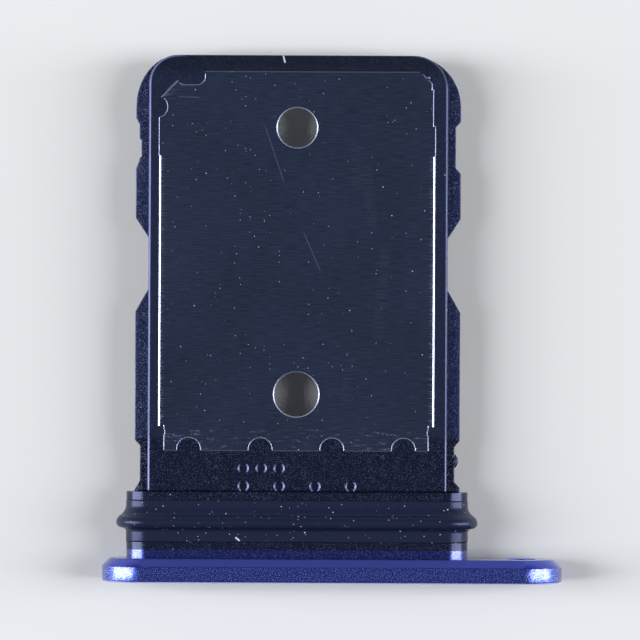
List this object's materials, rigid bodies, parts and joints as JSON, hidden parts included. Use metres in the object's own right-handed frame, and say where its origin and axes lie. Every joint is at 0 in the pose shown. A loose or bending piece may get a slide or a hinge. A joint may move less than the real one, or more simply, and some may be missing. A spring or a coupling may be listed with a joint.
{
  "type": "sim card tray",
  "caption": "Flat SIM card tray with a round-ended cap, a lipped seal, notched side rails and a steel floor over a keyed card pocket.",
  "frame": {"origin": "middle of the cap's neck, on the face of the flange that seats against the device", "axes": "+Y the way the tray is pushed in, +Z through the thin side towards the steel plate, X across the tray"},
  "size_m": [0.0151, 0.0173, 0.0026],
  "materials": {
    "cap_aluminium": "bead blasted and anodised blue",
    "carrier_plastic": "moulded, spark-eroded texture, dark slate",
    "plate_steel": "brushed across, dark coated",
    "seal_silicone": "moulded silicone, dark slate"
  },
  "bodies": {
    "root": {"face_cap": "cap_aluminium", "carrier_frame": "carrier_plastic", "floor_plate": "plate_steel", "seal_ring": "seal_silicone"}
  },
  "joints": []
}
